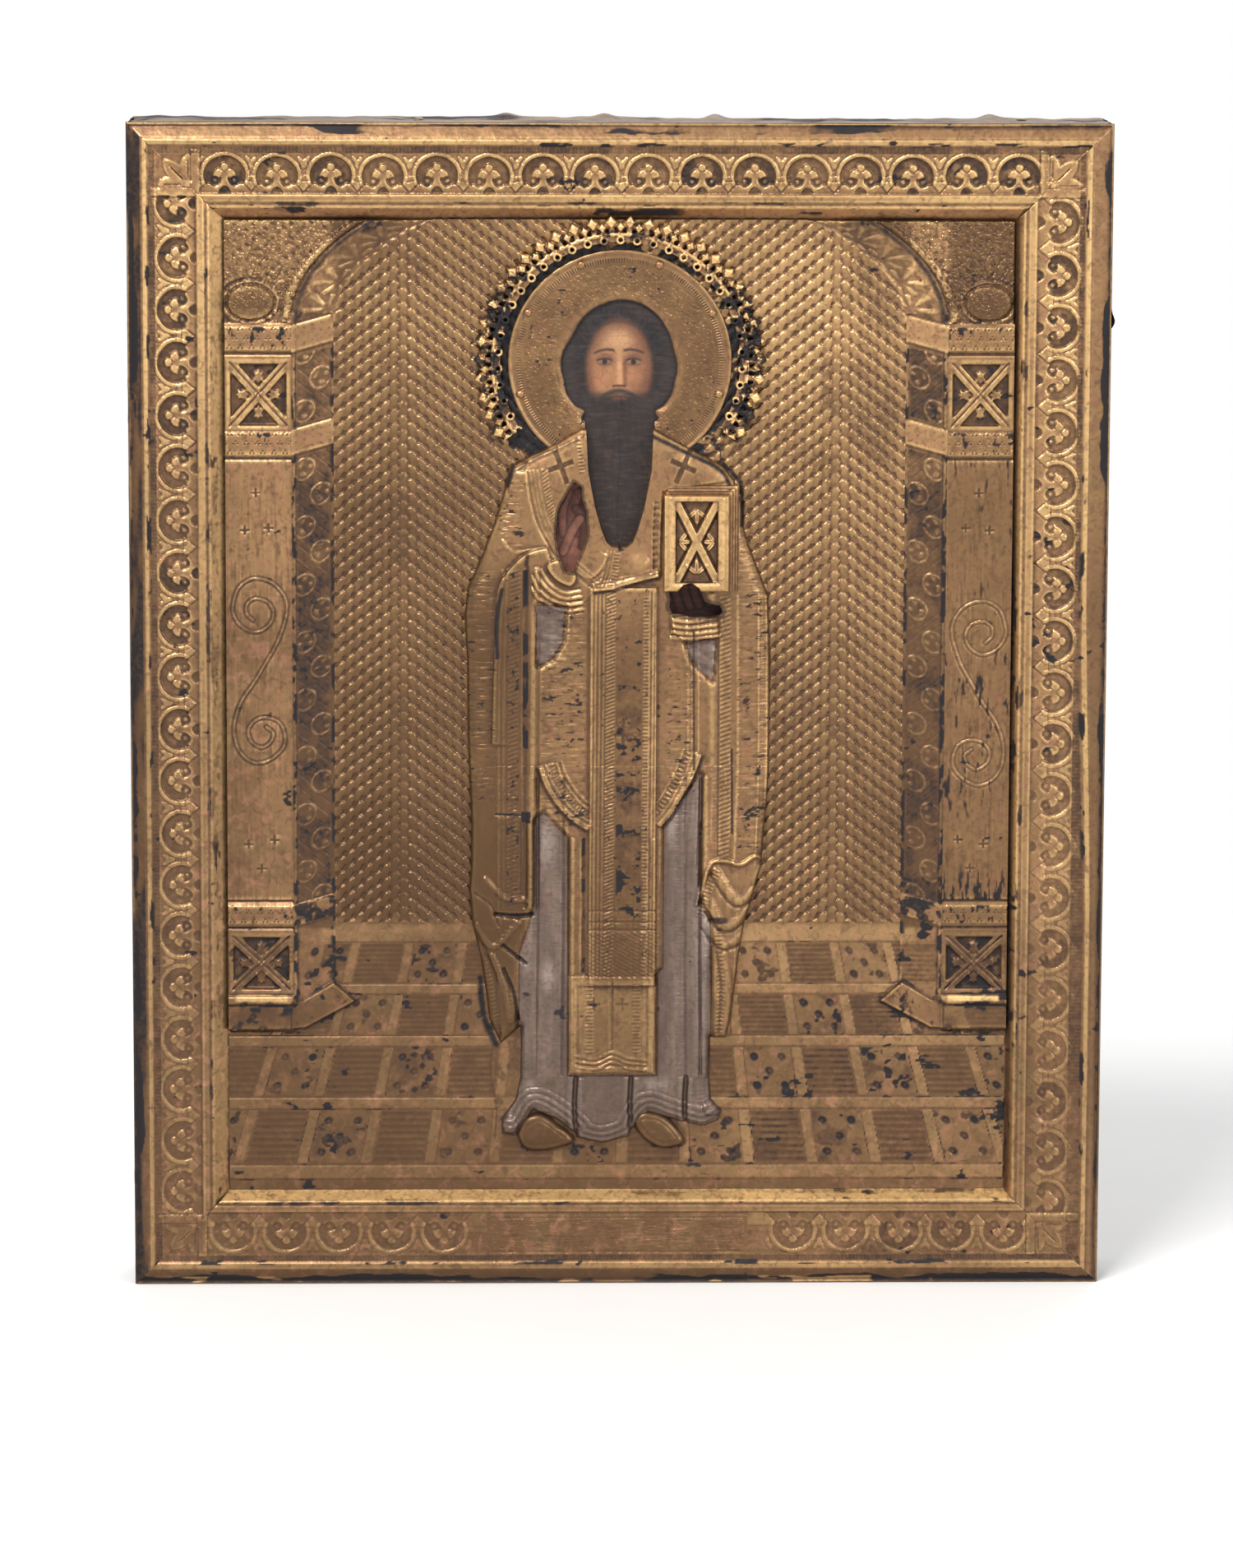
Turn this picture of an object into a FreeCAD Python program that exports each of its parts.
import FreeCAD, Part
import math
import os

os.makedirs("parts", exist_ok=True)

# The icon stands upright on its bottom edge. X runs to the viewer's right, the front faces -Y,
# Z is up, and the origin is in the middle of the flat bottom edge, halfway through the board.
# All sizes are millimetres. A depth is measured forwards from the face of the gesso.

# Overall size of the metal cover: a common icon format, five by six vershok
cover_width = 222.0
cover_height = 267.0
sheet = 0.4
overrun = 5.0
full_turn_degrees = 360.0

# Wooden panel: two planks, white gesso on the front, two battens let into the back
board_thickness = 20.0
plank_joint_from_centre = 14.0
gesso_thickness = 1.2
paint_thickness = 0.2
paint_margin = 1.0
batten_width = 18.0
batten_in_board = 6.0
batten_flare = 1.5
batten_proud = 4.0
batten_blind_end = 6.0
batten_from_end = 45.0

# Folded edge strips round the four sides of the board, and the brads that hold them
strip_back_margin = 2.0
brad_shank_radius = 0.5
brad_shank_length = 8.0
brad_head_radius = 1.2
brad_head_thickness = 0.3
brad_from_middle = 2.0
top_brad_count = 5
side_brad_count = 6
brad_from_corner = 20.0

# Border rail section, outer edge first
outer_bead_width = 1.0
band_width = 2.9
bead_width = 1.7
hatch_width = 1.7
ornament_width = 9.1
list_step_width = 0.5
list_width = 2.0
bevel_width = 2.9
wall_height = 2.8
groove_height = 3.2
band_height = 4.2
ornament_height = 3.4
list_height = 4.0

# Field sheet: two piers with splayed inner faces, an arch over them and two shoes at the hem
pier_width = 15.1
return_width = 9.5
pier_relief = 1.2
pier_band_relief = 0.4
pier_foot_above_window = 36.5
arch_springing_below_window = 23.7
arch_rise = 30.0
impost_height = 6.2
panel_height = 18.0
pier_band_height = 5.8
spandrel_relief = 0.8
spandrel_width = 50.0
shoe_length = 12.0
shoe_height = 6.4
shoe_relief = 2.0
shoe_hem_gap = 0.2
shoe_centre_shares = (-0.47, 0.27)

# Halo disc and pierced crown
halo_radius = 25.3
halo_thickness = 1.6
crown_gap = 0.9
crown_ring_width = 4.8
crown_point_height = 2.1
crown_over_border = 1.1
crown_height = 3.0
crown_from_degrees = -34.0
crown_to_degrees = 214.0
crown_full_turn_count = 47
crown_hole_pitch_shares = (0.25, 0.75)
crown_hole_radius = 0.55
crown_hole_from_collar = 2.3
pin_shank_radius = 0.35
pin_shank_length = 6.0
pin_head_radius = 0.8
pin_head_thickness = 0.3
pin_from_rim = 1.7
pin_degrees = (-18.0, 28.0, 68.0, 112.0, 152.0, 198.0)

# Head and beard opening
head_radius = 13.2
neck_half_width = 7.9
neck_below_halo_centre = 15.2
beard_length = 27.0
beard_half_width = 7.7
beard_width_and_drop_shares = ((1.0, 0.0), (0.93, 0.35), (0.75, 0.66), (0.4, 0.95), (0.14, 1.0))

# Figure in relief, as shares of its half width and of its height from hem to neck
figure_half_width = 35.0
hem_above_window = 14.2
vestment_relief = 3.4
tunic_relief = 2.2
relief_bevel = 1.0
vestment_bevel = 1.8
stole_relief = 0.6
stole_shares = (
    (-0.25, 0.985), (-0.52, 0.945), (-0.58, 0.915), (-0.54, 0.865), (-0.45, 0.812), (-0.33, 0.782),
    (-0.19, 0.77), (-0.19, 0.23), (0.25, 0.23), (0.25, 0.78), (0.29, 0.79), (0.29, 0.925),
    (0.58, 0.925), (0.44, 0.945), (0.22, 0.985),
)
vestment_shares = (
    (-0.25, 1.0), (-0.69, 0.943), (-0.74, 0.908), (-0.82, 0.85), (-0.95, 0.805), (-1.0, 0.77),
    (-0.98, 0.56), (-0.96, 0.444), (-0.955, 0.31), (-0.93, 0.257), (-0.88, 0.21), (-0.83, 0.156),
    (-0.62, 0.145), (-0.59, 0.33), (-0.53, 0.5), (-0.36, 0.45), (-0.355, 0.225), (-0.36, 0.08),
    (0.245, 0.08), (0.25, 0.43), (0.3, 0.45), (0.51, 0.5), (0.5, 0.33), (0.57, 0.15),
    (0.74, 0.14), (0.77, 0.21), (0.82, 0.29), (0.925, 0.39), (0.97, 0.56), (0.98, 0.68),
    (0.965, 0.75), (0.91, 0.805), (0.8, 0.865), (0.737, 0.92), (0.505, 0.955), (0.223, 1.0),
)
skirt_shares = (
    (-0.62, 0.47), (-0.62, 0.2), (-0.8, 0.16), (-0.77, 0.1), (-0.72, 0.055), (-0.79, 0.008),
    (-0.6, 0.0), (0.0, 0.012), (0.5, 0.0), (0.66, 0.0), (0.57, 0.04), (0.58, 0.09),
    (0.72, 0.15), (0.55, 0.2), (0.55, 0.47),
)
right_sleeve_shares = ((-0.53, 0.74), (-0.46, 0.757), (-0.36, 0.70), (-0.40, 0.667), (-0.52, 0.68))
left_sleeve_shares = ((0.43, 0.69), (0.60, 0.70), (0.62, 0.66), (0.50, 0.648), (0.43, 0.66))
blessing_hand_shares = (
    (-0.29, 0.92), (-0.235, 0.895), (-0.2, 0.873), (-0.205, 0.84), (-0.27, 0.806),
    (-0.317, 0.799), (-0.38, 0.815), (-0.42, 0.852), (-0.4, 0.89),
)

# Gospel book held in the figure's left hand
book_width = 15.2
book_height = 21.9
book_relief = 6.0
book_page_step = 0.8
book_page_shift_x = 1.2
book_page_shift_z = 2.0
book_frame_width = 2.6
book_panel_sink = 0.6
book_left_share = 0.306
book_bottom_share = 0.768
book_hand_width = 13.0
book_hand_height = 5.6
book_hand_corner_count = 9

# Hanging ring on the back, through a staple
ring_mean_radius = 7.0
wire_radius = 0.8
ring_clearance = 0.25
ring_board_gap = 0.3
staple_from_top = 11.0
staple_leg_in_board = 7.0

# Places that follow from the sizes above
board_width = cover_width - sheet * 2
board_height = cover_height - sheet * 2
back_y = board_thickness / 2
board_front_y = -board_thickness / 2
gesso_front_y = board_front_y - gesso_thickness
border_width = (outer_bead_width + band_width + bead_width + hatch_width
                + ornament_width + list_step_width + list_width + bevel_width)
window_half_width = cover_width / 2 - border_width
window_bottom = border_width
window_top = cover_height - border_width
crown_inner_radius = halo_radius + crown_gap
crown_base_radius = crown_inner_radius + crown_ring_width
crown_tip_radius = crown_base_radius + crown_point_height
halo_z = window_top + crown_over_border - crown_tip_radius
neck_z = halo_z - neck_below_halo_centre
hem_z = window_bottom + hem_above_window
figure_height = neck_z - hem_z
book_left = figure_half_width * book_left_share
book_bottom = hem_z + figure_height * book_bottom_share


def vector(x, y, z):
    return FreeCAD.Vector(x, y, z)


def front(depth):
    """The y of a place that lies this depth in front of the gesso."""
    return gesso_front_y - depth


def box(x_from, x_to, y_from, y_to, z_from, z_to):
    return Part.makeBox(x_to - x_from, y_to - y_from, z_to - z_from, vector(x_from, y_from, z_from))


def relief_box(x_from, x_to, z_from, z_to, depth_from, depth_to):
    return box(x_from, x_to, front(depth_to), front(depth_from), z_from, z_to)


def flat_face(corners):
    return Part.Face(Part.makePolygon(corners + corners[:1]))


def corners_at(points, depth):
    return [vector(x, front(depth), z) for x, z in points]


def prism(points, depth_from, depth_to):
    """A straight-sided plate with this outline."""
    return flat_face(corners_at(points, depth_from)).extrude(vector(0, depth_from - depth_to, 0))


def cylinder(x, z, radius, depth_from, depth_to):
    return Part.makeCylinder(radius, depth_to - depth_from, vector(x, front(depth_from), z), vector(0, -1, 0))


def signed_area(points):
    total = 0
    for (x_one, z_one), (x_two, z_two) in zip(points, points[1:] + points[:1]):
        total += x_one * z_two - x_two * z_one
    return total / 2


def inset(points, distance):
    """The outline with every side moved inwards, or outwards for a negative distance."""
    turn = 1 if signed_area(points) > 0 else -1
    moved = []
    for before, here, after in zip(points[-1:] + points[:-1], points, points[1:] + points[:1]):
        run_in = math.hypot(here[0] - before[0], here[1] - before[1])
        run_out = math.hypot(after[0] - here[0], after[1] - here[1])
        normal_in = (-(here[1] - before[1]) * turn / run_in, (here[0] - before[0]) * turn / run_in)
        normal_out = (-(after[1] - here[1]) * turn / run_out, (after[0] - here[0]) * turn / run_out)
        spread = 1 + normal_in[0] * normal_out[0] + normal_in[1] * normal_out[1]
        moved.append((here[0] + distance * (normal_in[0] + normal_out[0]) / spread,
                      here[1] + distance * (normal_in[1] + normal_out[1]) / spread))
    return moved


def straight_skin(start, end):
    """A solid between two like outlines, with one flat side for each pair of edges."""
    faces = [flat_face(start), flat_face(end)]
    for index in range(len(start)):
        after = (index + 1) % len(start)
        faces.append(flat_face([start[index], start[after], end[after], end[index]]))
    solid = Part.Solid(Part.Shell(faces))
    return solid if solid.Volume > 0 else solid.reversed()


def bevelled(points, depth_from, depth_to, bevel):
    """A plate whose sides lean inwards by the bevel."""
    return straight_skin(corners_at(points, depth_from), corners_at(inset(points, bevel), depth_to))


def embossed(points, relief, bevel, raised_points=None, raise_by=0):
    """Thin sheet pressed up from behind, standing on the field sheet, with a higher part on it."""
    outer = bevelled(points, sheet, sheet + relief, bevel)
    inner = bevelled(inset(points, sheet), sheet, relief, bevel)
    if raised_points:
        outer = outer.fuse(prism(raised_points, relief, sheet + relief + raise_by))
        inner = inner.fuse(prism(inset(raised_points, sheet), relief - sheet, relief + raise_by))
    return outer.cut(inner)


def figure_points(shares):
    return [(x * figure_half_width, hem_z + z * figure_height) for x, z in shares]


def largest(shape):
    return max(shape.Solids, key=lambda solid: solid.Volume)


def save(name, shape):
    shape.removeSplitter().exportStep("parts/" + name + ".step")


# Openings in the metal through which the painting shows

def beard_points():
    right_side = [(half * beard_half_width, neck_z - drop * beard_length)
                  for half, drop in beard_width_and_drop_shares]
    return right_side + [(-x, z) for x, z in reversed(right_side)]


def head_opening(grow, depth_from, depth_to):
    half = neck_half_width + grow
    skull = cylinder(0, halo_z, head_radius + grow, depth_from, depth_to)
    neck = relief_box(-half, half, neck_z - grow, halo_z, depth_from, depth_to)
    beard = prism(inset(beard_points(), -grow), depth_from, depth_to)
    return skull.fuse([neck, beard])


def blessing_hand_opening(grow, depth_from, depth_to):
    return prism(inset(figure_points(blessing_hand_shares), -grow), depth_from, depth_to)


def book_hand_points():
    """A half oval hanging from the lower edge of the book."""
    middle = book_left + book_width / 2
    points = []
    for index in range(book_hand_corner_count):
        angle = math.pi * index / (book_hand_corner_count - 1)
        points.append((middle - math.cos(angle) * book_hand_width / 2,
                       book_bottom - math.sin(angle) * book_hand_height))
    return points


def book_hand_opening(grow, depth_from, depth_to):
    return prism(inset(book_hand_points(), -grow), depth_from, depth_to)


def all_openings(grow, depth_from, depth_to):
    head = head_opening(grow, depth_from, depth_to)
    right_hand = blessing_hand_opening(grow, depth_from, depth_to)
    left_hand = book_hand_opening(grow, depth_from, depth_to)
    return [head, right_hand, left_hand]


def painted_areas():
    """Thin layers of paint, a little larger than the openings in the metal."""
    head, right_hand, left_hand = all_openings(paint_margin, -paint_thickness, 0)
    return [head, right_hand.cut(head), left_hand.cut(head)]


# Wooden panel

def batten(z, side, clearance_end):
    """A dovetail batten slid in from one side of the board, blind at the other."""
    foot_half = batten_width / 2
    neck_half = foot_half - batten_flare
    groove_y = back_y - batten_in_board
    crest_y = back_y + batten_proud
    section = [(groove_y, -foot_half), (back_y, -neck_half), (crest_y, -neck_half),
               (crest_y, neck_half), (back_y, neck_half), (groove_y, foot_half)]
    start_x = side * board_width / 2
    face = flat_face([vector(start_x, y, z + offset) for y, offset in section])
    return face.extrude(vector(-side * (board_width - clearance_end), 0, 0))


def planks(cutters):
    half = board_width / 2
    joint = plank_joint_from_centre
    bottom = sheet
    top = sheet + board_height
    left = box(-half, joint, board_front_y, back_y, bottom, top)
    right = box(joint, half, board_front_y, back_y, bottom, top)
    return left.cut(cutters), right.cut(cutters)


def gesso(cutters):
    half = board_width / 2
    slab = box(-half, half, gesso_front_y, board_front_y, sheet, sheet + board_height)
    return slab.cut(cutters)


# Edge strips and brads

def edge_strip(side):
    half = cover_width / 2
    rear = back_y - strip_back_margin
    if side == "top":
        return box(-half, half, gesso_front_y, rear, cover_height - sheet, cover_height)
    if side == "bottom":
        return box(-half, half, gesso_front_y, rear, 0, sheet)
    outer_x = -half if side == "left" else half - sheet
    return box(outer_x, outer_x + sheet, gesso_front_y, rear, sheet, cover_height - sheet)


def brad(x, z, inward_x, inward_z):
    """A brad whose flat head is flush with the outside of its strip."""
    place = vector(x, -brad_from_middle, z)
    inward = vector(inward_x, 0, inward_z)
    head = Part.makeCylinder(brad_head_radius, brad_head_thickness, place, inward)
    shank = Part.makeCylinder(brad_shank_radius, brad_shank_length, place, inward)
    return head.fuse(shank).removeSplitter()


def spaced(start, end, count):
    return [start + (end - start) * index / (count - 1) for index in range(count)]


def edge_brads():
    half = cover_width / 2
    brads = []
    for x in spaced(brad_from_corner - half, half - brad_from_corner, top_brad_count):
        brads.append(brad(x, cover_height, 0, -1))
        brads.append(brad(x, 0, 0, 1))
    for z in spaced(brad_from_corner, cover_height - brad_from_corner, side_brad_count):
        brads.append(brad(-half, z, 1, 0))
        brads.append(brad(half, z, -1, 0))
    return brads


# Border rails

def rail_section():
    """Points as distance from the outer edge and depth, round the outside of the section."""
    runs = [(0, wall_height), (outer_bead_width, groove_height), (band_width, band_height),
            (bead_width, band_height), (hatch_width, ornament_height),
            (ornament_width, ornament_height), (list_step_width, list_height),
            (list_width, list_height), (bevel_width, sheet)]
    points = [(0, 0)]
    distance = 0
    for run, depth in runs:
        distance += run
        points.append((distance, depth))
    points.append((distance, 0))
    return points


def rail_hollow():
    points = inset(rail_section(), sheet)
    first = (points[0][0], -overrun)
    last = (points[-2][0] - sheet, -overrun)
    return [first] + points[1:-2] + [(points[-2][0] - sheet, sheet), last]


def border_rail(side):
    """One mitred length of the border."""
    half = cover_width / 2

    def low_end(distance, y):
        if side == "top":
            return vector(distance - half, y, cover_height - distance)
        if side == "right":
            return vector(half - distance, y, distance)
        return vector(distance - half, y, distance)

    def high_end(distance, y):
        if side == "bottom":
            return vector(half - distance, y, distance)
        if side == "left":
            return vector(distance - half, y, cover_height - distance)
        return vector(half - distance, y, cover_height - distance)

    solids = []
    for points in (rail_section(), rail_hollow()):
        start = [low_end(distance, front(depth)) for distance, depth in points]
        end = [high_end(distance, front(depth)) for distance, depth in points]
        solids.append(straight_skin(start, end))
    return solids[0].cut(solids[1])


# Field sheet

def pier_blocks(side, shrink, depth_lift):
    """The boxes of one pier: a shaft with an impost, two panel bands and a base."""
    outer = side * window_half_width
    inner = side * (window_half_width - pier_width)
    x_from = min(outer, inner) + shrink
    x_to = max(outer, inner) - shrink
    foot = window_bottom + pier_foot_above_window
    top = window_top - arch_springing_below_window
    upper_band = top - impost_height - panel_height - pier_band_height
    lower_band = foot + pier_band_height + panel_height
    low_depth = -overrun if shrink else 0
    high = pier_relief + sheet - depth_lift
    blocks = [relief_box(x_from, x_to, foot + shrink, top - shrink, low_depth, high)]
    for start, height in ((top - impost_height, impost_height), (upper_band, pier_band_height),
                          (lower_band, pier_band_height), (foot, pier_band_height)):
        blocks.append(relief_box(x_from, x_to, start + shrink, start + height - shrink,
                                 low_depth, high + pier_band_relief))
    return blocks


def pier_return(side, depth_drop, end_gap, depth_from):
    """The splayed face that runs from the inner edge of a pier down to the plate."""
    outer = side * (window_half_width - pier_width)
    inner = side * (window_half_width - pier_width - return_width)
    foot = window_bottom + pier_foot_above_window + end_gap
    top = window_top - arch_springing_below_window - end_gap
    section = [(outer, depth_from), (outer, sheet + pier_relief - depth_drop), (inner, sheet - depth_drop),
               (inner, depth_from)]
    face = flat_face([vector(x, front(depth), foot) for x, depth in section])
    return face.extrude(vector(0, 0, top - foot))


def arch_opening(depth_from, depth_to):
    springing = window_top - arch_springing_below_window
    half_span = window_half_width - pier_width - return_width
    centre = vector(0, front(depth_from), springing)
    oval = Part.Ellipse(vector(half_span, front(depth_from), springing),
                        vector(0, front(depth_from), springing + arch_rise), centre)
    face = Part.Face(Part.Wire([oval.toShape()]))
    return face.extrude(vector(0, depth_from - depth_to, 0))


def spandrels():
    springing = window_top - arch_springing_below_window
    pieces = []
    for side in (-1, 1):
        outer = side * window_half_width
        inner = side * (window_half_width - spandrel_width)
        pieces.append(relief_box(min(outer, inner), max(outer, inner), springing, window_top,
                                 0, sheet + spandrel_relief))
    opening = arch_opening(0, sheet + spandrel_relief + overrun)
    return [piece.cut(opening) for piece in pieces]


def shoes():
    pieces = []
    top = hem_z - shoe_hem_gap
    for share in shoe_centre_shares:
        middle = share * figure_half_width
        half = shoe_length / 2
        points = [(middle - half, top), (middle + half, top), (middle + half, top - shoe_height / 2),
                  (middle + half / 2, top - shoe_height), (middle - half / 2, top - shoe_height),
                  (middle - half, top - shoe_height / 2)]
        pieces.append(bevelled(points, 0, sheet + shoe_relief, relief_bevel))
    return pieces


def field_sheet(cutters):
    plate = relief_box(-window_half_width, window_half_width, window_bottom, window_top, 0, sheet)
    raised = spandrels() + shoes()
    hollows = []
    for side in (-1, 1):
        raised += pier_blocks(side, 0, 0) + [pier_return(side, 0, 0, 0)]
        hollows += pier_blocks(side, sheet, sheet) + [pier_return(side, sheet, sheet, -overrun)]
    return plate.fuse(raised).cut(hollows + cutters)


# Halo

def halo_disc(cutters):
    outer = cylinder(0, halo_z, halo_radius, sheet, sheet + halo_thickness)
    inner = cylinder(0, halo_z, halo_radius - sheet, sheet, halo_thickness)
    disc = outer.cut([inner, head_opening(0, 0, halo_thickness + overrun)] + cutters)
    return largest(disc)


def polar(radius, degrees, depth):
    angle = math.radians(degrees)
    return vector(radius * math.cos(angle), front(depth), halo_z + radius * math.sin(angle))


def arc_edge(radius, degrees_from, degrees_to, depth):
    middle = (degrees_from + degrees_to) / 2
    ends = [polar(radius, degrees, depth) for degrees in (degrees_from, middle, degrees_to)]
    return Part.Arc(ends[0], ends[1], ends[2]).toShape()


def ring_sector(inner_radius, outer_radius, depth_from, depth_to):
    start = crown_from_degrees
    end = crown_to_degrees
    edges = [arc_edge(outer_radius, start, end, depth_from),
             Part.makeLine(polar(outer_radius, end, depth_from), polar(inner_radius, end, depth_from)),
             arc_edge(inner_radius, end, start, depth_from),
             Part.makeLine(polar(inner_radius, start, depth_from), polar(outer_radius, start, depth_from))]
    face = Part.Face(Part.Wire(edges))
    return face.extrude(vector(0, depth_from - depth_to, 0))


def crown_point_count():
    return round((crown_to_degrees - crown_from_degrees) * crown_full_turn_count / full_turn_degrees)


def crown_angles(offset):
    pitch = (crown_to_degrees - crown_from_degrees) / crown_point_count()
    return [crown_from_degrees + pitch * (index + offset) for index in range(crown_point_count())]


def crown_fringe(depth_from, depth_to):
    """The ring with its row of points round the outside."""
    pitch = (crown_to_degrees - crown_from_degrees) / crown_point_count()
    corners = [polar(crown_base_radius, crown_from_degrees, depth_from)]
    for degrees in crown_angles(0):
        corners.append(polar(crown_tip_radius, degrees + pitch / 2, depth_from))
        corners.append(polar(crown_base_radius, degrees + pitch, depth_from))
    corners.append(polar(crown_inner_radius, crown_to_degrees, depth_from))
    outline = Part.makePolygon(corners)
    closing = Part.makeLine(polar(crown_inner_radius, crown_from_degrees, depth_from), corners[0])
    inner = arc_edge(crown_inner_radius, crown_to_degrees, crown_from_degrees, depth_from)
    face = Part.Face(Part.Wire(outline.Edges + [inner, closing]))
    return face.extrude(vector(0, depth_from - depth_to, 0))


def halo_crown(cutters):
    top = sheet + crown_height
    collar = ring_sector(crown_inner_radius, crown_inner_radius + sheet, sheet, top - sheet)
    fringe = crown_fringe(top - sheet, top)
    hole_radius_place = crown_inner_radius + crown_hole_from_collar
    holes = []
    for offset in crown_hole_pitch_shares:
        for degrees in crown_angles(offset):
            centre = polar(hole_radius_place, degrees, 0)
            holes.append(cylinder(centre.x, centre.z, crown_hole_radius, top - sheet * 2, top + overrun))
    return largest(collar.fuse(fringe).cut(holes + cutters))


def halo_pins():
    pins = []
    place_radius = halo_radius - pin_from_rim
    crest = sheet + halo_thickness
    for degrees in pin_degrees:
        centre = polar(place_radius, degrees, 0)
        head = cylinder(centre.x, centre.z, pin_head_radius, crest, crest + pin_head_thickness)
        shank = cylinder(centre.x, centre.z, pin_shank_radius, crest - pin_shank_length, crest)
        pins.append(head.fuse(shank).removeSplitter())
    return pins


# Figure

def book_block(grow, depth_from):
    """The space of the book: its cover and the page block that shows beyond it."""
    right = book_left + book_width
    top = book_bottom + book_height
    high = sheet + book_relief
    cover = relief_box(book_left - grow, right + grow, book_bottom - grow, top + grow, depth_from, high - grow)
    pages = relief_box(book_left + book_page_shift_x - grow, right + book_page_shift_x + grow,
                       book_bottom + book_page_shift_z - grow, top + book_page_shift_z + grow,
                       depth_from, high - book_page_step - grow)
    return [cover, pages]


def gospel_book():
    cover, pages = book_block(0, sheet)
    inner_cover, inner_pages = book_block(-sheet, sheet)
    crest = sheet + book_relief
    panel = relief_box(book_left + book_frame_width, book_left + book_width - book_frame_width,
                       book_bottom + book_frame_width, book_bottom + book_height - book_frame_width,
                       crest - book_panel_sink, crest + overrun)
    hollow_top = crest - sheet - book_panel_sink
    ceiling = relief_box(book_left - overrun, book_left + book_width + overrun * 2,
                         book_bottom - overrun, book_bottom + book_height + overrun * 2,
                         hollow_top, crest + overrun)
    hollow = inner_cover.fuse(inner_pages).cut(ceiling)
    return cover.fuse(pages).cut([panel, hollow])


def sleeves():
    return [figure_points(right_sleeve_shares), figure_points(left_sleeve_shares)]


def vestment(book):
    crest = sheet + book_relief + overrun
    cutters = [prism(points, 0, crest) for points in sleeves()]
    cutters += all_openings(0, 0, crest) + book
    shell = embossed(figure_points(vestment_shares), vestment_relief, vestment_bevel,
                     figure_points(stole_shares), stole_relief)
    return largest(shell.cut(cutters))


def tunic(vestment_space, openings):
    """The skirt below the vestment and the two sleeves that show through it."""
    skirt = embossed(figure_points(skirt_shares), tunic_relief, relief_bevel).cut([vestment_space])
    pieces = list(skirt.Solids)
    for points in sleeves():
        pieces += embossed(points, vestment_relief, relief_bevel).cut(openings).Solids
    return Part.makeCompound(pieces)


# Hanging ring and its staple

def staple_y():
    return back_y + ring_board_gap + wire_radius


def staple_z():
    return cover_height - staple_from_top


def ring_staple():
    """A wire arch with two legs driven into the board, one above and one below the ring."""
    arch_radius = wire_radius * 2 + ring_clearance
    y = staple_y()
    z = staple_z()
    arch = Part.Arc(vector(0, y, z - arch_radius), vector(0, y + arch_radius, z), vector(0, y, z + arch_radius))
    deep_y = back_y - staple_leg_in_board
    lower = Part.makeLine(vector(0, deep_y, z - arch_radius), vector(0, y, z - arch_radius))
    upper = Part.makeLine(vector(0, y, z + arch_radius), vector(0, deep_y, z + arch_radius))
    path = Part.Wire([lower, arch.toShape(), upper])
    start = vector(0, deep_y, z - arch_radius)
    profile = Part.Wire([Part.Circle(start, vector(0, 1, 0), wire_radius).toShape()])
    return path.makePipeShell([profile], True, False)


def hanging_ring():
    centre = vector(0, staple_y(), staple_z() - ring_mean_radius)
    return Part.makeTorus(ring_mean_radius, wire_radius, centre, vector(0, 1, 0))


def build():
    brads = edge_brads()
    pins = halo_pins()
    staple = ring_staple()
    upper_batten = batten(cover_height - batten_from_end, 1, batten_blind_end)
    lower_batten = batten(batten_from_end, -1, batten_blind_end)
    left_plank, right_plank = planks([upper_batten, lower_batten, staple] + brads + pins)
    save("panel_left_plank", left_plank)
    save("panel_right_plank", right_plank)
    save("upper_batten", upper_batten)
    save("lower_batten", lower_batten)

    painted = painted_areas()
    save("gesso_ground", gesso(painted + pins))
    for name, shape in zip(("painted_head", "painted_blessing_hand", "painted_book_hand"), painted):
        save(name, shape)

    for side in ("top", "bottom", "left", "right"):
        save("edge_strip_" + side, edge_strip(side).cut(brads))
        save("border_rail_" + side, border_rail(side))
    save("edge_brads", Part.makeCompound(brads))

    save("field_sheet", field_sheet(all_openings(0, -overrun, sheet + overrun) + pins))
    book = book_block(0, 0)
    vestment_space = prism(figure_points(vestment_shares), 0, sheet + book_relief + overrun)
    figure_space = [vestment_space] + book
    save("halo_disc", halo_disc(figure_space + pins))
    save("halo_crown", halo_crown([vestment_space]))
    save("halo_pins", Part.makeCompound(pins))
    save("vestment", vestment(book))
    save("tunic", tunic(vestment_space, all_openings(0, 0, sheet + book_relief + overrun)))
    save("gospel_book", gospel_book())
    save("ring_staple", staple)
    save("hanging_ring", hanging_ring())


build()
